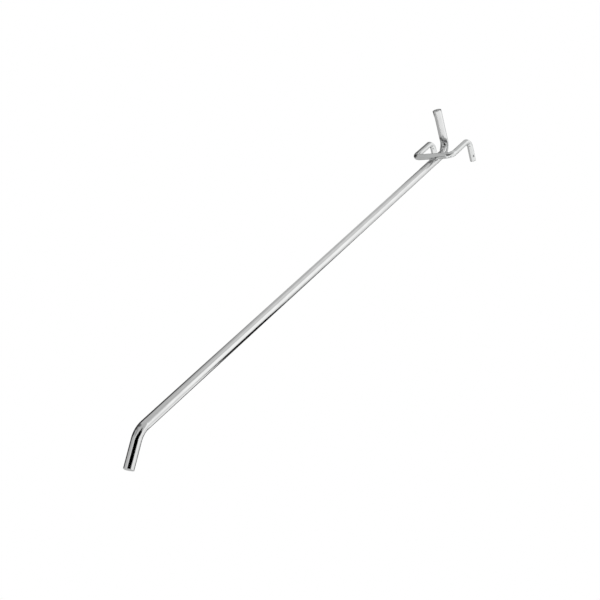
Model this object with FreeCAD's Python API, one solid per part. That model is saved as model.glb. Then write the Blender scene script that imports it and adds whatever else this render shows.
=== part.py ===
import FreeCAD, Part
import math
import os
from FreeCAD import Vector

# A welded wire hook for perforated board. All sizes are in millimetres.
# Frame: X across the hook, -Y out along the prong, +Z up. The origin lies on the board's
# front face, midway between the two pins and level with them. The board stands at +Y.

# The two wires.
prong_wire_diameter = 5.0
cross_wire_diameter = 3.6

# The board that the hook hangs on.
hole_pitch = 25.4
board_room = 3.2

# The heavy wire, measured along its centre line from corner to corner.
prong_length = 326.0
tip_length = 17.7
tip_rise_angle = 40.5
leg_length = 26.2
leg_bend_radius = 6.5
tip_bend_radius = 12.0

# The thin wire: how far it crosses in front of the board, and how far its pins turn up.
cross_reach = 20.4
pin_rise = 14.1
cross_bend_radius = 4.0
pin_bend_radius = 5.0

# The weld: how far the wires sink into each other, and how far the squeezed-out metal
# spreads over each wire's surface.
weld_set_down = 1.05
weld_spread = 0.35

# The edges left by cropping.
tip_end_round = 0.15
leg_end_round = 0.25
pin_end_round = 0.35

prong_wire_radius = prong_wire_diameter / 2
cross_wire_radius = cross_wire_diameter / 2
prong_height = prong_wire_radius + cross_wire_radius - weld_set_down
leg_back = -prong_wire_radius
pin_back = board_room + cross_wire_radius
pin_side = hole_pitch / 2


def bent_path(corners, bend_radii):
    """Straight runs between the corners, with a tangent arc of the given radius at each bend."""
    edges = []
    run_start = corners[0]
    for index, radius in enumerate(bend_radii):
        corner = corners[index + 1]
        towards_last = (corners[index] - corner).normalize()
        towards_next = (corners[index + 2] - corner).normalize()
        turn = math.pi - towards_last.getAngle(towards_next)
        arc_start = corner + towards_last * (radius * math.tan(turn / 2))
        arc_end = corner + towards_next * (radius * math.tan(turn / 2))
        inward = (towards_last + towards_next).normalize()
        arc_middle = corner + inward * (radius / math.cos(turn / 2) - radius)
        edges.append(Part.LineSegment(run_start, arc_start).toShape())
        edges.append(Part.Arc(arc_start, arc_middle, arc_end).toShape())
        run_start = arc_end
    edges.append(Part.LineSegment(run_start, corners[-1]).toShape())
    return Part.Wire(edges)


def swept_wire(corners, bend_radii, wire_radius):
    """A round wire bent along the path."""
    path = bent_path(corners, bend_radii)
    section = Part.Wire([Part.makeCircle(wire_radius, corners[0], corners[1] - corners[0])])
    return path.makePipeShell([section], True, False)


def with_rounded_end(wire, end, radius):
    """The wire with the rim of the cropped face at that end rounded over."""
    rim = [
        edge
        for edge in wire.Edges
        if isinstance(edge.Curve, Part.Circle) and edge.Curve.Center.isEqual(end, 0.001)
    ]
    return wire.makeFillet(radius, rim)


def prong_corners():
    """Foot of the leg, the corner behind the prong, the corner at the tip, and the tip's end."""
    foot = Vector(0, leg_back, prong_height - leg_length)
    back_corner = Vector(0, leg_back, prong_height)
    tip_corner = back_corner + Vector(0, -prong_length, 0)
    rise = math.radians(tip_rise_angle)
    tip_end = tip_corner + Vector(0, -math.cos(rise), math.sin(rise)) * tip_length
    return [foot, back_corner, tip_corner, tip_end]


def cross_corners():
    """From the end of one pin, round through the crossing, to the end of the other pin."""
    half = [
        Vector(pin_side, pin_back, pin_rise),
        Vector(pin_side, pin_back, 0),
        Vector(pin_side, -cross_reach, 0),
    ]
    other_half = [Vector(-point.x, point.y, point.z) for point in reversed(half)]
    return half + other_half


def make_prong_rod():
    """The heavy wire: leg down against the board, long straight prong, and upturned tip."""
    corners = prong_corners()
    rod = swept_wire(corners, [leg_bend_radius, tip_bend_radius], prong_wire_radius)
    rod = with_rounded_end(rod, corners[0], leg_end_round)
    return with_rounded_end(rod, corners[-1], tip_end_round)


def make_cross_wire(rod):
    """The thin wire: two pins and the crossing, with the saddle that the rod is pressed into."""
    corners = cross_corners()
    radii = [pin_bend_radius, cross_bend_radius, cross_bend_radius, pin_bend_radius]
    wire = swept_wire(corners, radii, cross_wire_radius)
    wire = with_rounded_end(wire, corners[0], pin_end_round)
    wire = with_rounded_end(wire, corners[-1], pin_end_round)
    return wire.cut(rod)


def make_weld_collar(rod, cross_wire):
    """Metal squeezed out round the crossing, as far as it clings to both wires."""
    reach = 2 * cross_wire_diameter
    over_rod = Part.makeCylinder(
        prong_wire_radius + weld_spread,
        2 * reach,
        Vector(0, -cross_reach - reach, prong_height),
        Vector(0, 1, 0),
    )
    over_wire = Part.makeCylinder(
        cross_wire_radius + weld_spread,
        2 * reach,
        Vector(-reach, -cross_reach, 0),
        Vector(1, 0, 0),
    )
    return over_rod.common(over_wire).cut(rod).cut(cross_wire)


def save_node(shape, name):
    """Write one checked solid to its own file."""
    solids = shape.Solids
    if len(solids) != 1 or not solids[0].isValid():
        raise ValueError(name + " is not one sound solid")
    solids[0].exportStep(os.path.join("parts", name + ".step"))
    print(name, "volume", round(solids[0].Volume, 2), "mm3")


os.makedirs("parts", exist_ok=True)
prong_rod = make_prong_rod()
cross_wire = make_cross_wire(prong_rod)
weld_collar = make_weld_collar(prong_rod, cross_wire)
save_node(prong_rod, "prong_rod")
save_node(cross_wire, "cross_wire")
save_node(weld_collar, "weld_collar")
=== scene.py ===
import math

import bpy
from mathutils import Matrix, Vector, noise


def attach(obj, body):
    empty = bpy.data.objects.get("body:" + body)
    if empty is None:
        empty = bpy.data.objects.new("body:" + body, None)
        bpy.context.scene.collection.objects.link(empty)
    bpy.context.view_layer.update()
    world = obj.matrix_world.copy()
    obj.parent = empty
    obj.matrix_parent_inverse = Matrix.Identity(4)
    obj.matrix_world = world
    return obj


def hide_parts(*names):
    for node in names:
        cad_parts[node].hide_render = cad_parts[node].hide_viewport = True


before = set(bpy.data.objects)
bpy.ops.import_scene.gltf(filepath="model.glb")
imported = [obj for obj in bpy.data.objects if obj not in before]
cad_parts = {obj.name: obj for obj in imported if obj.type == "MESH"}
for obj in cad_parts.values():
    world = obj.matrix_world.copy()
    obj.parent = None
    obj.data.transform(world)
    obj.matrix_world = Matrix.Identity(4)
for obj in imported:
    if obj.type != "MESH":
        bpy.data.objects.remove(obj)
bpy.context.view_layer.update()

mm = 0.001

# The board's front face is the plane Y = 0, and the prong points to -Y. The sizes are those of the
# CAD model, in millimetres, with the finish of each piece beside them.
prongRod = {
    "radius": 2.5,
    "height": 3.25,  # centre line above the pins
    "length": 326.0,
    "legLength": 26.2,
    "tipLength": 17.7,
    "tipRise": 40.5,
    "legBend": 6.5,
    "tipBend": 12.0,
    "sides": 96,
    "stepStraight": 1.2,
    "stepBend": 0.22,
    "flattening": 0.035,  # how much a bend squeezes the section
    "formerMarkAndShadeSide": (-0.2, 0.12),  # the former's mark and painted shade cover the side that turns this far inward
    # Depth of the former's mark, which also paints shade on the inner side of the bend, and where it begins
    # and ends in the bend, for the leg and for the tip.
    "formerMarksAndShade": [(1.0, 0.04, 0.3), (0.12, 0.1, 0.8)],
    # Dark, dull spots, with middle, size and depth; most of them are painted shade and painted dark
    # reflections.
    "spotsOfPaintedShade": [
        ((-2.4, -2.6, -23.0), 0.9, 1.0),  # at the leg's end
        ((1.7, -4.5, -22.7), 1.1, 1.0),
        ((1.7, -4.5, -21.0), 1.1, 1.0),
        ((0.6, -4.96, -5.5), 1.3, 1.0),  # on the leg's bend
        ((-0.4, -4.96, -4.3), 1.3, 1.0),
        ((-1.4, -4.57, -3.6), 1.3, 1.0),
        ((-2.1, -3.9, -2.9), 1.2, 1.0),
        ((-0.5, -6.1, -0.5), 0.9, 0.9),
        ((-1.2, -6.1, -0.4), 0.8, 0.8),
        ((-1.1, -25.3, 1.0), 1.5, 0.9),  # beside the weld
        ((-1.2, -27.6, 1.05), 1.5, 0.9),
        ((-0.1, -327.5, 1.0), 1.6, 1.0),  # outside the tip's bend
        ((0.7, -329.2, 1.7), 1.6, 1.0),
        ((1.3, -330.5, 2.5), 1.6, 1.0),
        ((1.7, -331.5, 3.4), 1.6, 1.0),
    ],
}

# Former marks at the pins' bends and at the front bends: depth, start and end; they also paint shade on the
# inner side of these bends.
pinMarkAndShade = (2.8, 0.5, 0.68)
frontMarkAndShade = (0.3, 0.1, 0.8)

crossWire = {
    "radius": 1.8,
    "pinSide": 12.7,
    "reach": 20.4,
    "pinBack": 5.0,
    "pinRise": 14.1,
    "crossBend": 4.0,
    "pinBend": 5.0,
    "sides": 72,
    "stepStraight": 0.5,
    "stepBend": 0.16,
    "flattening": 0.045,
    # Former marks, which also paint shade, cover the side that turns this far inward.
    "formerMarkAndShadeSide": (0.25, 0.65),
    "formerMarksAndShade": [pinMarkAndShade, frontMarkAndShade, frontMarkAndShade, pinMarkAndShade],
    "spotsOfPaintedShade": [
        ((-14.28, 4.1, 10.3), 0.7, 1.0),  # on a pin
        ((-14.28, 4.1, 10.8), 0.7, 1.0),
        ((12.5, -18.4, -1.8), 1.1, 0.8),  # under and in front of the front bends
        ((12.5, -17.0, -1.8), 1.1, 0.8),
        ((12.5, -15.6, -1.8), 1.1, 0.8),
        ((-10.3, -21.6, -1.0), 0.8, 0.9),
        ((-11.0, -21.4, -0.9), 0.8, 0.7),
    ],
}

# What the bends of both wires share.
bending = {
    "onset": 0.6,  # below 1, the squeeze sets in fast at the ends of a bend
    "bulge": 0.4,  # share of the squeeze that comes out again at the sides
    "markEdges": (0.05, 0.07),  # share of the bend over which a former's mark sets in and fades
    "leastSteps": 8,
    "leastStraightSteps": 30,
}

spotShadeCore = 0.4  # share of a spot's size within which it has its full depth

croppedEnds = {
    "tip": {"round": 0.05, "slope": 5.0, "burr": 0.02, "dome": 0.15, "flare": 0.0},
    "leg": {"round": 0.25, "slope": 0.5, "burr": 0.28, "dome": 0.0, "flare": 0.35},
    "pin": {"round": 0.35, "slope": 1.5, "burr": 0.06, "dome": 0.1, "flare": 0.0},
    "flareReach": 6.5,  # the shear has spread the end this far back, towards this side
    "flareSide": Vector((0.86, -0.51, 0)),
    "faceRings": 14,
    "innermost": 0.35,  # radius of the last ring round the middle, in rings
    "rimRings": 9,
    "keepStraight": 0.06,  # a ring this close to the rim keeps the side's shading straight
    "tear": 0.035,  # unevenness of the torn part of the face
    "fineTear": 0.5,  # the finer unevenness as a share of the coarser
    "coarseScales": (1.1, 3.2, 0.37),
    "fineScales": (5.0, 9.0, 1.0),
    # The next three are shares of the wire's radius.
    "tornBorder": (-0.1, 0.35),
    "burrFrom": 0.35,
    "rimFade": (1.02, 0.8),  # the unevenness fades towards the rim
}

weldCollar = {
    "beadRadius": 0.44,
    "turns": 180,
    "sides": 28,
    "lump": 0.16,
    "fineLump": 0.5,  # the finer lumps as a share of the coarser
    "lumpScale": 1.3,
    "fineScale": 3.1,
    "fineShift": Vector((7, 3, 1)),  # keeps the two sizes of lumps apart
    "searchSteps": 40,
    "searchEdge": 0.999,  # the search stays this far inside both wires
    "searchSpread": 0.4,
}

# The plating is darkened and dulled in the corners between the wires: painted shade where the wires hide each
# other, along with the duller plating that the bath leaves there.
paintedCornerShade = {
    "spacing": 4.0,  # of the samples along both wires that shade a corner
    "reach": 26.0,
    "headDepth": 50.0,  # no corner lies further along the prong
}

# Attributes that the finish reads: former marks with painted shade, bends, painted corner shade and painted
# shade spots.
markAndShadeNames = ("formerMarkAndShade", "bendMark", "paintedCornerShade", "spotShade")


def smoothStep(low, high, value):
    share = min(1.0, max(0.0, (value - low) / (high - low)))
    return share * share * (3 - 2 * share)


# The deepest of the spots that reach this place.
def spotDepth(spots, place):
    depths = [0.0]
    for middle, size, depth in spots:
        distance = (place - Vector(middle)).length
        if distance < size:
            depths.append(depth * smoothStep(size, spotShadeCore * size, distance))
    return max(depths)


# Points along straight runs and tangent arcs: place, how far into a bend (0 to 1), the bend's inward side,
# and how strongly its former's mark and painted shade darken it there.
def bentLine(corners, bendRadii, wire):
    points = []
    start = corners[0]
    setIn, fadeOut = bending["markEdges"]

    def addRun(end):
        count = max(bending["leastStraightSteps"], math.ceil((end - start).length / wire["stepStraight"]))
        for k in range(count):
            points.append((start.lerp(end, k / count), 0.0, None, 0.0))

    for index, radius in enumerate(bendRadii):
        corner = corners[index + 1]
        back = (corners[index] - corner).normalized()
        ahead = (corners[index + 2] - corner).normalized()
        turn = math.pi - back.angle(ahead)
        arcStart = corner + back * radius * math.tan(turn / 2)
        inward = (back + ahead).normalized()
        centre = corner + inward * radius / math.cos(turn / 2)
        addRun(arcStart)
        count = max(bending["leastSteps"], math.ceil(turn * radius / wire["stepBend"]))
        fromCentre = (arcStart - centre).normalized()
        depth, begins, ends = wire["formerMarksAndShade"][index]
        for k in range(count):
            angle = turn * k / count
            place = centre + (fromCentre * math.cos(angle) - back * math.sin(angle)) * radius
            bend = math.sin(math.pi * k / count) ** bending["onset"]
            # The marks are told from the bend's end that is nearer to the wire's own end.
            share = k / count if index < len(bendRadii) / 2 else 1 - k / count
            markAndShade = depth * smoothStep(begins, begins + setIn, share)
            markAndShade *= smoothStep(ends + fadeOut, ends, share)
            points.append((place, bend, (centre - place).normalized(), markAndShade))
        start = corner + ahead * radius * math.tan(turn / 2)
    addRun(corners[-1])
    points.append((corners[-1], 0.0, None, 0.0))
    return points


def directionsAlong(places):
    last = len(places) - 1
    return [(places[min(k + 1, last)] - places[max(k - 1, 0)]).normalized() for k in range(last + 1)]


# Points along the wire's middle, each with the width that it hides from the points around it.
def shadingSamples(line, wire):
    samples = []
    run = paintedCornerShade["spacing"]
    for before, point in zip(line[:-1], line[1:]):
        run += (point[0] - before[0]).length
        if run >= paintedCornerShade["spacing"] and point[0].y > -paintedCornerShade["headDepth"]:
            samples.append((point[0], wire["radius"]))
            run = 0.0
    return samples


# How much of what a point of the surface looks at is hidden by the wires, which sets the painted shade in the
# corners: 0 is open.
def paintedCornerShadeAt(place, out, samples):
    hidden = 0.0
    if place.y < -paintedCornerShade["headDepth"]:
        return hidden
    for middle, radius in samples:
        gap = middle - place
        distance = gap.length
        facing = out.dot(gap)
        if facing > 0 and distance < paintedCornerShade["reach"]:
            width = 2 * radius * paintedCornerShade["spacing"]
            hidden += facing / distance * width / (math.pi * max(distance, radius) ** 2)
    return min(1.0, hidden)


def addObject(name, mesh):
    mesh.validate()
    obj = bpy.data.objects.new(name, mesh)
    bpy.context.scene.collection.objects.link(obj)
    return obj


def smoothMesh(name, verts, faces):
    mesh = bpy.data.meshes.new(name)
    mesh.from_pydata([tuple(v) for v in verts], [], faces)
    for poly in mesh.polygons:
        poly.use_smooth = True
    return mesh


# Each vertex of a skin has its place, its place on the unbent wire, and the marks and painted shade that the
# finish reads.
def addVertex(skin, place, unbent, marksAndShade):
    skin["place"].append(place * mm)
    skin["unbent"].append(unbent)
    for markName, depth in zip(markAndShadeNames, marksAndShade):
        skin[markName].append(depth)


def closeEnd(skin, ringStart, sides, flip):
    faces = []
    middle = len(skin["place"])
    centre = sum((skin["place"][ringStart + s] for s in range(sides)), Vector()) / sides
    addVertex(skin, centre / mm, (0.0, 0.0, skin["unbent"][ringStart][2]), (0.0,) * len(markAndShadeNames))
    for s in range(sides):
        fan = (ringStart + s, ringStart + (s + 1) % sides, middle)
        faces.append(fan[::-1] if flip else fan)
    return faces


# A round wire swept along the line, with cropped ends.
def wireMesh(name, line, samples, firstSide, wire, startEnd, finishEnd):
    radius, sides = wire["radius"], wire["sides"]
    places = [point[0] for point in line]
    tangents = directionsAlong(places)
    last = len(places) - 1
    total = sum((places[k + 1] - places[k]).length for k in range(last))
    skin = {key: [] for key in ("place", "unbent", *markAndShadeNames)}
    rings = []

    # How far the shear has pushed the skin out near an end.
    def flareAt(out, along):
        towards = max(0.0, out.dot(croppedEnds["flareSide"])) ** 2
        flared = 0.0
        for end, away in ((startEnd, along), (finishEnd, total - along)):
            flared += end["flare"] * towards * smoothStep(croppedEnds["flareReach"], 0, away)
        return flared

    def ring(centre, tangent, side, along, size, bend=0.0, inward=None, markAndShade=0.0, wobble=None):
        other = tangent.cross(side)
        rings.append(len(skin["place"]))
        for s in range(sides):
            angle = 2 * math.pi * s / sides
            out = side * math.cos(angle) + other * math.sin(angle)
            reach = size
            pressedAndShaded = 0.0
            if bend:
                towards = out.dot(inward)
                reach *= 1 - wire["flattening"] * bend * (towards * towards - bending["bulge"])
                pressedAndShaded = markAndShade * smoothStep(*wire["formerMarkAndShadeSide"], towards)
            reach += flareAt(out, along) * size / radius
            place = centre + out * reach
            if wobble:
                place = place + tangent * wobble(angle, size)
            unbent = (math.cos(angle) * size, math.sin(angle) * size, along)
            # The former's mark with painted shade, the bend, the painted corner shade and the painted shade
            # spots.
            marksAndShade = (pressedAndShaded, bend, paintedCornerShadeAt(place, out, samples), spotDepth(wire["spotsOfPaintedShade"], place))
            addVertex(skin, place, unbent, marksAndShade)

    # The rim and the sheared face of an end, from the wire's side to the middle, or the other way
    # round.
    def endRings(centre, tangent, side, along, end, outward):
        slope = math.tan(math.radians(end["slope"]))
        flat = radius - end["round"]
        shapes = []
        for k in range(1, croppedEnds["rimRings"] + 1):
            angle = math.pi / 2 * k / croppedEnds["rimRings"]
            size = radius - end["round"] * (1 - math.cos(angle))
            shapes.append((size, -end["round"] * (1 - math.sin(angle))))
        for k in range(1, croppedEnds["faceRings"] + 1):
            inner = 1 - k / (croppedEnds["faceRings"] + croppedEnds["innermost"])
            shapes.append((flat * inner, end["dome"] * (1 - inner * inner)))

        def shear(angle, size):
            across, beside = math.cos(angle) * size, math.sin(angle) * size
            roughness = []
            for scales in (croppedEnds["coarseScales"], croppedEnds["fineScales"]):
                spot = Vector((across * scales[0], beside * scales[1], along * scales[2]))
                roughness.append(noise.noise(spot))
            tornLow, tornHigh = croppedEnds["tornBorder"]
            torn = smoothStep(tornLow * radius, tornHigh * radius, -across)
            tear = croppedEnds["tear"] * torn * (roughness[0] + croppedEnds["fineTear"] * roughness[1])
            outer, inner = croppedEnds["rimFade"]
            height = (across * slope + tear) * smoothStep(radius * outer, radius * inner, size)
            lip = end["burr"] * smoothStep(croppedEnds["burrFrom"] * radius, radius, -across)
            return (height + lip) * outward

        if outward < 0:
            shapes.reverse()
        for size, back in shapes:
            ring(centre + tangent * back * outward, tangent, side, along + back * outward, size, wobble=shear)

    side = (firstSide - tangents[0] * firstSide.dot(tangents[0])).normalized()
    endRings(places[0], tangents[0], side, 0.0, startEnd, -1)
    startRings = len(rings)
    keep = croppedEnds["keepStraight"]
    run = 0.0
    for k in range(last + 1):
        if k:
            turnAxis = tangents[k - 1].cross(tangents[k])
            if turnAxis.length > 1e-9:
                turn = tangents[k - 1].angle(tangents[k])
                side = Matrix.Rotation(turn, 3, turnAxis.normalized()) @ side
            side = (side - tangents[k] * side.dot(tangents[k])).normalized()
            run += (places[k] - places[k - 1]).length
        centre, bend, inward, markAndShade = line[k]
        if k == 0:
            for back in (startEnd["round"], startEnd["round"] + keep):
                ring(centre + tangents[0] * back, tangents[0], side, back, radius)
        elif k == last:
            for back in (finishEnd["round"] + keep, finishEnd["round"]):
                ring(centre - tangents[-1] * back, tangents[-1], side, total - back, radius)
        else:
            ring(centre, tangents[k], side, run, radius, bend, inward, markAndShade)
    endFirst = len(rings)
    endRings(places[-1], tangents[-1], side, total, finishEnd, 1)

    faces = []
    for a, b in zip(rings[:-1], rings[1:]):
        for s in range(sides):
            t = (s + 1) % sides
            faces.append((a + s, a + t, b + t, b + s))
    faces += closeEnd(skin, rings[0], sides, True)
    faces += closeEnd(skin, rings[-1], sides, False)

    mesh = smoothMesh(name, skin["place"], faces)
    unbentPlaces = mesh.attributes.new("wirePlace", "FLOAT_VECTOR", "POINT")
    unbentPlaces.data.foreach_set("vector", [c for unbent in skin["unbent"] for c in unbent])
    for markName in markAndShadeNames:
        mesh.attributes.new(markName, "FLOAT", "POINT").data.foreach_set("value", skin[markName])
    # The cropped faces have a finish of their own.
    rimCount = croppedEnds["rimRings"]
    sideStart = (startRings - rimCount) * sides
    sideEnd = (endFirst + rimCount - 1) * sides
    for index, poly in enumerate(mesh.polygons):
        poly.material_index = 0 if sideStart <= index < sideEnd else 1
    return addObject(name, mesh)


def prongLine():
    back = Vector((0, -prongRod["radius"], prongRod["height"]))
    foot = back - Vector((0, 0, prongRod["legLength"]))
    tipCorner = back - Vector((0, prongRod["length"], 0))
    rise = math.radians(prongRod["tipRise"])
    tipEnd = tipCorner + Vector((0, -math.cos(rise), math.sin(rise))) * prongRod["tipLength"]
    return bentLine([foot, back, tipCorner, tipEnd], [prongRod["legBend"], prongRod["tipBend"]], prongRod)


def crossLine():
    side, back = crossWire["pinSide"], crossWire["pinBack"]
    front, rise = -crossWire["reach"], crossWire["pinRise"]
    corners = [
        Vector((side, back, rise)),
        Vector((side, back, 0)),
        Vector((side, front, 0)),
        Vector((-side, front, 0)),
        Vector((-side, back, 0)),
        Vector((-side, back, rise)),
    ]
    bends = [crossWire["pinBend"], crossWire["crossBend"], crossWire["crossBend"], crossWire["pinBend"]]
    return bentLine(corners, bends, crossWire)


shading = shadingSamples(prongLine(), prongRod) + shadingSamples(crossLine(), crossWire)


def makeProngRod():
    ends = croppedEnds["leg"], croppedEnds["tip"]
    return wireMesh("heavyWire", prongLine(), shading, Vector((1, 0, 0)), prongRod, *ends)


def makeCrossWire():
    ends = croppedEnds["pin"], croppedEnds["pin"]
    return wireMesh("thinWire", crossLine(), shading, Vector((1, 0, 0)), crossWire, *ends)


# Where the skins of the two wires meet, in this direction from the middle of the crossing.
def meetingPoint(angle):
    rod, wire = prongRod["radius"], crossWire["radius"]
    near = 0.0
    far = min(rod, wire) * weldCollar["searchEdge"] / max(abs(math.sin(angle)), weldCollar["searchSpread"])
    for _ in range(weldCollar["searchSteps"]):
        middle = (near + far) / 2
        x, y = middle * math.cos(angle), middle * math.sin(angle)
        rodLow = prongRod["height"] - math.sqrt(max(rod * rod - x * x, 0))
        wireTop = math.sqrt(max(wire * wire - y * y, 0))
        if rodLow < wireTop:
            near = middle
        else:
            far = middle
    return Vector((x, y - crossWire["reach"], (rodLow + wireTop) / 2))


# A lumpy bead that follows the line where the two wires meet.
def makeWeldCollar():
    turns, sides = weldCollar["turns"], weldCollar["sides"]
    path = [meetingPoint(2 * math.pi * k / turns) for k in range(turns)]
    verts, faces = [], []
    for k in range(turns):
        ahead = (path[(k + 1) % turns] - path[k - 1]).normalized()
        outward = (path[k] - Vector((0, -crossWire["reach"], path[k].z))).normalized()
        outward = (outward - ahead * outward.dot(ahead)).normalized()
        up = ahead.cross(outward)
        for s in range(sides):
            angle = 2 * math.pi * s / sides
            direction = outward * math.cos(angle) + up * math.sin(angle)
            place = path[k] + direction * weldCollar["beadRadius"]
            swell = noise.noise(place * weldCollar["lumpScale"])
            fine = noise.noise(place * weldCollar["fineScale"] + weldCollar["fineShift"])
            swell += weldCollar["fineLump"] * fine
            verts.append((place + direction * weldCollar["lump"] * swell) * mm)
            a, b = k * sides, ((k + 1) % turns) * sides
            t = (s + 1) % sides
            faces.append((a + s, b + s, b + t, a + t))
    return addObject("weldBead", smoothMesh("weldBead", verts, faces))


def nodeTree(material):
    material.use_nodes = True
    tree = material.node_tree
    tree.nodes.clear()
    return tree


def addNode(tree, kind, **settings):
    node = tree.nodes.new(kind)
    for key, value in settings.items():
        setattr(node, key, value)
    return node


def newGroup(name, inputs, outputs):
    group = bpy.data.node_groups.new(name, "ShaderNodeTree")
    for label, kind, value in inputs:
        socket = group.interface.new_socket(label, in_out="INPUT", socket_type=kind)
        if value is not None:
            socket.default_value = value
    for label, kind in outputs:
        group.interface.new_socket(label, in_out="OUTPUT", socket_type=kind)
    return group, group.nodes.new("NodeGroupInput"), group.nodes.new("NodeGroupOutput")


# Each value is a number or the socket that brings one.
def mathNode(tree, operation, first, second=0, clamp=False):
    node = addNode(tree, "ShaderNodeMath", operation=operation, use_clamp=clamp)
    for socket, value in zip(node.inputs, (first, second)):
        if isinstance(value, (int, float)):
            socket.default_value = value
        else:
            tree.links.new(value, socket)
    return node.outputs[0]


# The first value, and each further one times its weight.
def weightedSum(tree, total, *terms):
    for value, weight in terms:
        total = mathNode(tree, "ADD", total, mathNode(tree, "MULTIPLY", value, weight))
    return total


def rangeNode(tree, value, fromLow, fromHigh, toLow=0.0, toHigh=1.0):
    node = addNode(tree, "ShaderNodeMapRange", interpolation_type="SMOOTHSTEP")
    limits = {"From Min": fromLow, "From Max": fromHigh, "To Min": toLow, "To Max": toHigh}
    for name, number in limits.items():
        node.inputs[name].default_value = number
    tree.links.new(value, node.inputs["Value"])
    return node.outputs["Result"]


# Each colour is a tuple or the socket that brings one.
def colourMix(tree, first, second, factor):
    node = addNode(tree, "ShaderNodeMix", data_type="RGBA")
    for name, colour in (("A", first), ("B", second)):
        if isinstance(colour, tuple):
            node.inputs[name].default_value = (*colour, 1)
        else:
            tree.links.new(colour, node.inputs[name])
    tree.links.new(factor, node.inputs["Factor"])
    return node.outputs["Result"]


def stretchedNoise(tree, place, stretch, scale, detail=2.0, rough=0.5):
    scaled = addNode(tree, "ShaderNodeVectorMath", operation="MULTIPLY")
    scaled.inputs[1].default_value = stretch
    tree.links.new(place, scaled.inputs[0])
    node = addNode(tree, "ShaderNodeTexNoise")
    node.inputs["Scale"].default_value = scale
    node.inputs["Detail"].default_value = detail
    node.inputs["Roughness"].default_value = rough
    tree.links.new(scaled.outputs[0], node.inputs["Vector"])
    return node.outputs["Fac"]


# Fine lines left by the drawing die, all along the wire.
def makeDrawLines():
    group, start, end = newGroup(
        "drawLines",
        [("Place", "NodeSocketVector", None), ("Depth", "NodeSocketFloat", 1.0)],
        [("Height", "NodeSocketFloat"), ("Scuff", "NodeSocketFloat")],
    )
    place = start.outputs["Place"]
    fine = stretchedNoise(group, place, stretch=(1, 1, 0.03), scale=9.0, detail=3.0, rough=0.6)
    broad = stretchedNoise(group, place, stretch=(1, 1, 0.015), scale=2.2, detail=1.0)
    both = weightedSum(group, mathNode(group, "MULTIPLY", fine, 0.6), (broad, 0.6))
    group.links.new(mathNode(group, "MULTIPLY", both, start.outputs["Depth"]), end.inputs["Height"])
    group.links.new(rangeNode(group, fine, 0.52, 0.75), end.inputs["Scuff"])
    return group


# Slow clouding of the plating, and the gentle waviness under it.
def makePlateCloud():
    group, start, end = newGroup(
        "plateCloud",
        [("Place", "NodeSocketVector", None)],
        [("Cloud", "NodeSocketFloat"), ("Wave", "NodeSocketFloat"), ("Pits", "NodeSocketFloat")],
    )
    place = start.outputs["Place"]
    cloud = stretchedNoise(group, place, stretch=(1, 1, 0.25), scale=0.55, detail=3.0)
    wave = stretchedNoise(group, place, stretch=(1, 1, 0.35), scale=0.8, detail=1.0)
    pits = stretchedNoise(group, place, stretch=(1, 1, 0.8), scale=3.4, detail=1.0)
    group.links.new(rangeNode(group, cloud, 0.35, 0.65), end.inputs["Cloud"])
    group.links.new(wave, end.inputs["Wave"])
    group.links.new(rangeNode(group, pits, 0.70, 0.78), end.inputs["Pits"])
    return group


# Dull, mottled plating, darkened as painted shade, where a bend was pressed round its former, and painted
# shade deep in the corners. The spots of painted shade are as dark and dull all over.
def makeShopMarksAndShade():
    group, start, end = newGroup(
        "shopMarksAndShade",
        [
            ("Place", "NodeSocketVector", None),
            ("Former Mark And Shade", "NodeSocketFloat", 0.0),
            ("Bend", "NodeSocketFloat", 0.0),
            ("Corner Shade", "NodeSocketFloat", 0.0),
            ("Spot Shade", "NodeSocketFloat", 0.0),
            ("Former Mark And Shade Depth", "NodeSocketFloat", 1.0),
            ("Corner Shade Depth", "NodeSocketFloat", 1.0),
        ],
        [("Dull And Shaded", "NodeSocketFloat"), ("Dents", "NodeSocketFloat"), ("Peel", "NodeSocketFloat")],
    )
    place = start.outputs["Place"]
    mottle = stretchedNoise(group, place, stretch=(1, 1, 0.8), scale=1.1, detail=3.0, rough=0.6)
    grit = stretchedNoise(group, place, stretch=(1, 1, 1), scale=4.0)
    peel = stretchedNoise(group, place, stretch=(1, 1, 0.55), scale=0.75, rough=0.55)
    former = mathNode(group, "MULTIPLY", start.outputs["Former Mark And Shade"], start.outputs["Former Mark And Shade Depth"])
    # Painted shade deep in the corners between the wires.
    paintedCornerDim = rangeNode(group, start.outputs["Corner Shade"], 0.3, 0.6)
    corner = mathNode(group, "MULTIPLY", paintedCornerDim, start.outputs["Corner Shade Depth"])
    both = mathNode(group, "ADD", former, corner, clamp=True)
    patchyMarksAndShade = mathNode(group, "MULTIPLY", both, rangeNode(group, mottle, 0.35, 0.6, 0.6, 1.0), clamp=True)
    group.links.new(mathNode(group, "MAXIMUM", patchyMarksAndShade, start.outputs["Spot Shade"]), end.inputs["Dull And Shaded"])
    group.links.new(mathNode(group, "MULTIPLY", patchyMarksAndShade, grit), end.inputs["Dents"])
    group.links.new(mathNode(group, "MULTIPLY", peel, start.outputs["Bend"]), end.inputs["Peel"])
    return group


drawLines = makeDrawLines()
plateCloud = makePlateCloud()
shopMarksAndShade = makeShopMarksAndShade()


def attributeNode(tree, name):
    return addNode(tree, "ShaderNodeAttribute", attribute_name=name)


# A metal with these sockets for its colour, roughness and height.
def finishMetal(tree, colour, rough, height, depth):
    bump = addNode(tree, "ShaderNodeBump")
    bump.inputs["Distance"].default_value = depth * mm
    tree.links.new(height, bump.inputs["Height"])
    shader = addNode(tree, "ShaderNodeBsdfPrincipled")
    shader.inputs["Metallic"].default_value = 1.0
    tree.links.new(colour, shader.inputs["Base Color"])
    tree.links.new(rough, shader.inputs["Roughness"])
    tree.links.new(bump.outputs["Normal"], shader.inputs["Normal"])
    tree.links.new(shader.outputs[0], addNode(tree, "ShaderNodeOutputMaterial").inputs["Surface"])


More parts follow.
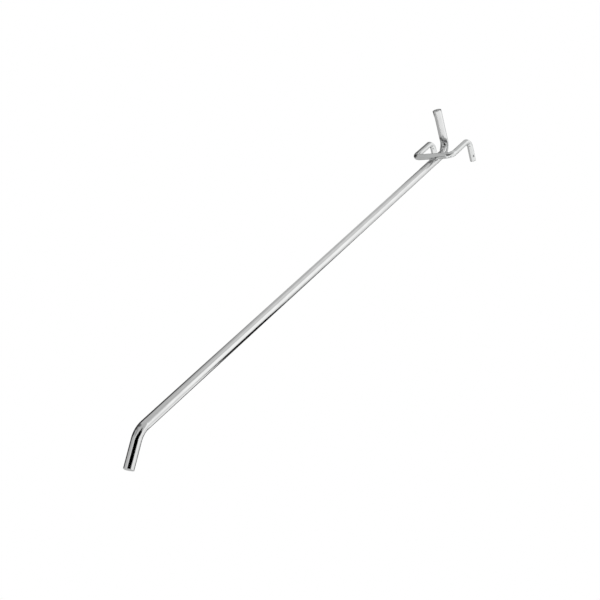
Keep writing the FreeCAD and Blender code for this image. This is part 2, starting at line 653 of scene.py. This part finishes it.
def makeBrightPlate(name, look):
    material = bpy.data.materials.new(name)
    tree = nodeTree(material)
    place = attributeNode(tree, "wirePlace").outputs["Vector"]
    lines = addNode(tree, "ShaderNodeGroup", node_tree=drawLines)
    clouds = addNode(tree, "ShaderNodeGroup", node_tree=plateCloud)
    marksAndShade = addNode(tree, "ShaderNodeGroup", node_tree=shopMarksAndShade)
    for effect in (lines, clouds, marksAndShade):
        tree.links.new(place, effect.inputs["Place"])
    for label, markName in zip(("Former Mark And Shade", "Bend", "Corner Shade", "Spot Shade"), markAndShadeNames):
        tree.links.new(attributeNode(tree, markName).outputs["Fac"], marksAndShade.inputs[label])
    lines.inputs["Depth"].default_value = look["lineDepth"]
    marksAndShade.inputs["Former Mark And Shade Depth"].default_value = look["formerMarkAndShadeDepth"]
    marksAndShade.inputs["Corner Shade Depth"].default_value = look["cornerShadeDepth"]

    pitted = mathNode(tree, "MULTIPLY", clouds.outputs["Pits"], look["pits"])
    tint = colourMix(tree, look["colour"], look["cloudColour"], clouds.outputs["Cloud"])
    tint = colourMix(tree, tint, look["pitColour"], pitted)
    # Painted shade: the marks, the corners and the spots darken the plating towards the mark colour.
    tint = colourMix(tree, tint, look["markAndShadeColour"], marksAndShade.outputs["Dull And Shaded"])
    rough = weightedSum(
        tree,
        look["rough"],
        (clouds.outputs["Cloud"], look["cloudRough"]),
        (lines.outputs["Scuff"], look["scuffRough"]),
        (marksAndShade.outputs["Dull And Shaded"], look["markRough"]),
    )
    height = weightedSum(
        tree,
        lines.outputs["Height"],
        (clouds.outputs["Wave"], look["wave"]),
        (clouds.outputs["Pits"], -look["pits"]),
        (marksAndShade.outputs["Dents"], look["markBump"]),
        (marksAndShade.outputs["Peel"], look["peel"]),
    )
    finishMetal(tree, tint, rough, height, look["bump"])
    return material


# The sheared end of a wire: a smoother cut part and a grainy torn part, plated over.
def makeCroppedFace(name, look):
    material = bpy.data.materials.new(name)
    tree = nodeTree(material)
    place = attributeNode(tree, "wirePlace").outputs["Vector"]
    across = addNode(tree, "ShaderNodeSeparateXYZ")
    tree.links.new(place, across.inputs[0])
    torn = rangeNode(tree, across.outputs["X"], *look["tornBorder"])
    grain = stretchedNoise(tree, place, stretch=(1, 2.6, 1), scale=look["grain"], detail=4.0, rough=0.65)
    smear = stretchedNoise(tree, place, stretch=(0.25, 3.0, 1), scale=look["smear"])
    speckled = mathNode(tree, "MULTIPLY", torn, rangeNode(tree, grain, 0.3, 0.6, 0.35, 1.0))
    tint = colourMix(tree, look["cutColour"], look["tornColour"], speckled)
    rough = weightedSum(tree, look["rough"], (torn, look["tornRough"]))
    height = weightedSum(tree, mathNode(tree, "MULTIPLY", grain, torn), (smear, 0.5))
    finishMetal(tree, tint, rough, height, look["bump"])
    return material


# Plating over the rough weld metal.
def makeWeldPlate(name, look):
    material = bpy.data.materials.new(name)
    tree = nodeTree(material)
    place = addNode(tree, "ShaderNodeTexCoord").outputs["Object"]
    lumps = stretchedNoise(tree, place, stretch=(1, 1, 1), scale=look["lumpScale"], detail=4.0, rough=0.6)
    grains = stretchedNoise(tree, place, stretch=(1, 1, 1), scale=look["grainScale"])
    tint = colourMix(tree, look["colour"], look["dullColour"], rangeNode(tree, lumps, 0.4, 0.62))
    rough = weightedSum(tree, look["rough"], (grains, look["grainRough"]))
    height = weightedSum(tree, lumps, (grains, 0.4))
    finishMetal(tree, tint, rough, height, look["bump"])
    return material


heavyLook = {
    "colour": (0.771, 0.775, 0.772),
    "cloudColour": (0.727, 0.731, 0.729),
    "pitColour": (0.35, 0.35, 0.35),
    "rough": 0.07,
    "cloudRough": 0.05,
    "scuffRough": 0.06,
    # The dark colour of the marks and of the painted shade.
    "markAndShadeColour": (0.2, 0.2, 0.203),
    "markRough": 0.2,
    "markBump": 1.0,
    "peel": 14.0,  # the skin of the wire roughens where it is bent
    # How dark the former marks, with their painted shade, are.
    "formerMarkAndShadeDepth": 0.3,
    # How dark the painted shade in the corners is.
    "cornerShadeDepth": 0.8,
    "lineDepth": 1.0,
    "wave": 2.2,
    "pits": 0.5,
    "bump": 0.006,
}
thinLook = dict(
    heavyLook,
    colour=(0.775, 0.785, 0.780),
    cloudColour=(0.726, 0.736, 0.731),
    rough=0.11,
    cloudRough=0.07,
    # The painted shade in the corners is lighter on the thin wire.
    cornerShadeDepth=0.3,
)
faceLook = {
    "cutColour": (0.80, 0.81, 0.805),
    "tornColour": (0.62, 0.63, 0.625),
    "tornBorder": (0.4, -0.6),
    "rough": 0.22,
    "tornRough": 0.22,
    "grain": 3.5,
    "smear": 2.0,
    "bump": 0.03,
}
weldLook = {
    "colour": (0.72, 0.725, 0.73),
    "dullColour": (0.45, 0.45, 0.455),
    "rough": 0.18,
    "grainRough": 0.25,
    "lumpScale": 900.0,
    "grainScale": 3800.0,
    "bump": 0.05,
}

heavyPlate = makeBrightPlate("heavyPlate", heavyLook)
thinPlate = makeBrightPlate("thinPlate", thinLook)
croppedFace = makeCroppedFace("croppedFace", faceLook)
weldPlate = makeWeldPlate("weldPlate", weldLook)
print("finishes ready")

for make, finish, node, slotName in (
    (makeProngRod, heavyPlate, "prong_rod", "bright_plate"),
    (makeCrossWire, thinPlate, "cross_wire", "bright_plate_thin"),
    (makeWeldCollar, weldPlate, "weld_collar", "plated_weld"),
):
    piece = make()
    piece.data.materials.append(finish)
    if finish is not weldPlate:
        piece.data.materials.append(croppedFace)
    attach(piece, "root")
    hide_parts(node)

# In metres. The cards face the middle of the hook.
studio = {
    "middle": Vector((0, -0.16, 0)),
    "floorDrop": 1.0,
    "floorSize": 12.0,
    "floorShade": 0.86,
    "skyForLight": 0.85,
}


def cardAt(bearing, rise, width, height, roll, distance, shade, soft=0.0):
    return {
        "bearing": bearing,
        "rise": rise,
        "width": width,
        "height": height,
        "roll": roll,
        "distance": distance,
        "shade": shade,
        "soft": soft,
    }


# What the plating reflects besides the white surroundings. Sizes are angles seen from the middle
# of the hook, in degrees. Soft is the share of a card over which its edges fade out.
studioCards = {
    "lowGrey": cardAt(0, -90, width=161, height=161, roll=0, distance=0.98, shade=0.57),
    "rightDark": cardAt(75, -23, width=73, height=90, roll=-3, distance=1.27, shade=0.04, soft=0.5),
    "topDark": cardAt(15, 36, width=71, height=45, roll=18, distance=3.2, shade=0.28, soft=0.25),
    "greySide": cardAt(105, 2, width=115, height=140, roll=-16, distance=1.89, shade=0.53, soft=0.1),
    "bar": cardAt(-39, 55, width=49, height=20, roll=35, distance=0.18, shade=0, soft=0.15),
    "black": cardAt(-133, -31, width=40, height=68, roll=79, distance=0.35, shade=0),
    "soft": cardAt(-47, -6, width=51, height=49, roll=29, distance=0.44, shade=1.15, soft=0.4),
    "frontLow": cardAt(-18, -38, width=45, height=30, roll=-39, distance=0.81, shade=0.77, soft=0.45),
    "innerLow": cardAt(10, -7, width=18, height=11, roll=-4, distance=0.19, shade=0.21, soft=0.3),
    "innerTop": cardAt(-23, 32, width=52, height=13, roll=8, distance=1.68, shade=0.76, soft=0.15),
    "leftLow": cardAt(178, -51, width=59, height=17, roll=-55, distance=0.88, shade=0.79, soft=0.1),
    "leftMid": cardAt(-159, -20, width=67, height=58, roll=-78, distance=1.55, shade=0.35, soft=0.1),
    "backLow": cardAt(148, -68, width=42, height=33, roll=9, distance=0.86, shade=0.36, soft=0.6),
    "topCore": cardAt(25, 40, width=39, height=33, roll=2, distance=1, shade=0.04, soft=0.3),
}


# A direction from the hook: bearing 0 is +Y and 90 is +X, rise is above the horizon.
def pointTowards(bearing, rise):
    b, r = math.radians(bearing), math.radians(rise)
    return Vector((math.sin(b) * math.cos(r), math.cos(b) * math.cos(r), math.sin(r)))


# 1 where the camera, or the metal, looks at the white surroundings.
def seenDirectly(tree):
    rays = addNode(tree, "ShaderNodeLightPath")
    seen = mathNode(tree, "MAXIMUM", rays.outputs["Is Camera Ray"], rays.outputs["Is Glossy Ray"])
    return mathNode(tree, "MAXIMUM", seen, rays.outputs["Is Transmission Ray"])


def grey(shade):
    return shade, shade, shade, 1


def mixShaders(tree, factor, first, second):
    mix = addNode(tree, "ShaderNodeMixShader")
    for socket, value in zip(mix.inputs, (factor, first.outputs[0], second.outputs[0])):
        tree.links.new(value, socket)
    return mix


def flatSheet(name, halfWide, halfTall):
    corners = [
        (-halfWide, -halfTall, 0),
        (halfWide, -halfTall, 0),
        (halfWide, halfTall, 0),
        (-halfWide, halfTall, 0),
    ]
    mesh = bpy.data.meshes.new(name)
    mesh.from_pydata(corners, [], [(0, 1, 2, 3)])
    return addObject(name, mesh)


def makeFloor():
    floor = flatSheet("floor", studio["floorSize"] / 2, studio["floorSize"] / 2)
    floor.location = studio["middle"] - Vector((0, 0, studio["floorDrop"]))
    material = bpy.data.materials.new("paleFloor")
    tree = nodeTree(material)
    matte = addNode(tree, "ShaderNodeBsdfDiffuse")
    matte.inputs["Color"].default_value = grey(studio["floorShade"])
    surface = mixShaders(tree, seenDirectly(tree), matte, addNode(tree, "ShaderNodeEmission"))
    tree.links.new(surface.outputs[0], addNode(tree, "ShaderNodeOutputMaterial").inputs["Surface"])
    floor.data.materials.append(material)


# A plain card that faces the hook. The camera doesn't see it, but the metal does.
def makeCard(name, card):
    distance = card["distance"]
    halfWide = distance * math.tan(math.radians(card["width"] / 2))
    halfTall = distance * math.tan(math.radians(card["height"] / 2))
    sheet = flatSheet(name, halfWide, halfTall)
    out = pointTowards(card["bearing"], card["rise"])
    facing = (-out).to_track_quat("Z", "Y").to_matrix().to_4x4()
    spin = Matrix.Rotation(math.radians(card["roll"]), 4, "Z")
    sheet.matrix_world = Matrix.Translation(out * distance + studio["middle"]) @ facing @ spin
    material = bpy.data.materials.new(name)
    tree = nodeTree(material)
    surface = glow = addNode(tree, "ShaderNodeEmission")
    glow.inputs["Color"].default_value = grey(card["shade"])
    if card["soft"]:
        axes = addNode(tree, "ShaderNodeSeparateXYZ")
        tree.links.new(addNode(tree, "ShaderNodeTexCoord").outputs["Generated"], axes.inputs[0])
        fades = []
        for axis in ("X", "Y"):
            fromMiddle = mathNode(tree, "ABSOLUTE", mathNode(tree, "SUBTRACT", axes.outputs[axis], 0.5))
            fades.append(rangeNode(tree, fromMiddle, 0.5, 0.5 - 0.5 * card["soft"]))
        clear = addNode(tree, "ShaderNodeBsdfTransparent")
        surface = mixShaders(tree, mathNode(tree, "MULTIPLY", *fades), clear, glow)
    tree.links.new(surface.outputs[0], addNode(tree, "ShaderNodeOutputMaterial").inputs["Surface"])
    material.cycles.emission_sampling = "NONE"
    sheet.data.materials.append(material)
    sheet.visible_camera = False
    sheet.visible_diffuse = False
    sheet.visible_shadow = False


def makeSky():
    world = bpy.data.worlds.new("paleStudio")
    bpy.context.scene.world = world
    tree = nodeTree(world)
    light = addNode(tree, "ShaderNodeBackground")
    light.inputs["Strength"].default_value = studio["skyForLight"]
    white = addNode(tree, "ShaderNodeBackground")
    for background in (light, white):
        background.inputs["Color"].default_value = grey(1)
    surface = mixShaders(tree, seenDirectly(tree), light, white)
    tree.links.new(surface.outputs[0], addNode(tree, "ShaderNodeOutputWorld").inputs["Surface"])


# The photograph's view: from in front and below, with the hook lying upside down.
photoView = {
    "place": (-0.380381, -0.699963, -0.254205),
    "lookAlong": (0.551562, 0.740327, 0.384311),
    "imageUp": (0.004598, 0.458025, -0.888927),
    "lens": 80.274,
    "sensor": 36.0,
    "nearest": 0.05,
    "farthest": 50,
}


def makeCamera():
    data = bpy.data.cameras.new("photoView")
    data.lens = photoView["lens"]
    data.sensor_width = photoView["sensor"]
    data.clip_start = photoView["nearest"]
    data.clip_end = photoView["farthest"]
    camera = bpy.data.objects.new("photoView", data)
    back = -Vector(photoView["lookAlong"]).normalized()
    right = Vector(photoView["imageUp"]).cross(back).normalized()
    turn = Matrix((right, back.cross(right), back)).transposed().to_4x4()
    camera.matrix_world = Matrix.Translation(Vector(photoView["place"])) @ turn
    bpy.context.scene.collection.objects.link(camera)
    bpy.context.scene.camera = camera


makeFloor()
makeSky()
makeCamera()
for cardName, card in studioCards.items():
    makeCard(cardName, card)
print("studio ready")

bpy.context.scene.view_settings.view_transform = "Standard"
